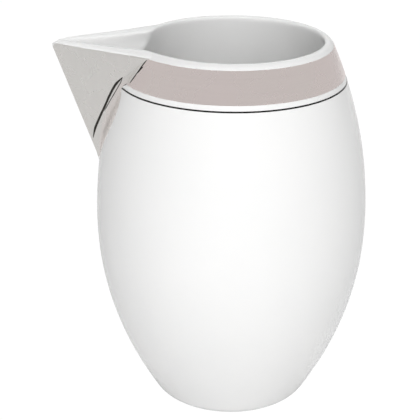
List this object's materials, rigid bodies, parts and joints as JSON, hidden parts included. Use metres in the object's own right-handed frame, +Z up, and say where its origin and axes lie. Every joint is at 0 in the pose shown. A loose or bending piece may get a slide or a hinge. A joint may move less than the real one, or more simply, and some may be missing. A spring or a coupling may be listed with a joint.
{
  "type": "cream jug",
  "caption": "Small egg-shaped glazed porcelain pouring jug without a handle, with a sharp-keeled V spout and platinum trim around the collar.",
  "frame": {"origin": "middle of the foot ring, on the surface that the jug stands on", "axes": "+Z up along the jug's axis, the spout points towards -X, and +Y completes the right-handed frame across the jug"},
  "size_m": [0.0871, 0.0756, 0.105],
  "materials": {
    "glazed_porcelain": "clear gloss glaze over white porcelain",
    "bisque": "unglazed, ground smooth",
    "platinum": "fired-on platinum lustre, softly brushed"
  },
  "bodies": {
    "root": {"body_shell": "glazed_porcelain", "foot_ring": "bisque", "pouring_spout": "glazed_porcelain", "platinum_band": "platinum", "platinum_line": "platinum", "spout_platinum": "platinum"}
  },
  "joints": []
}
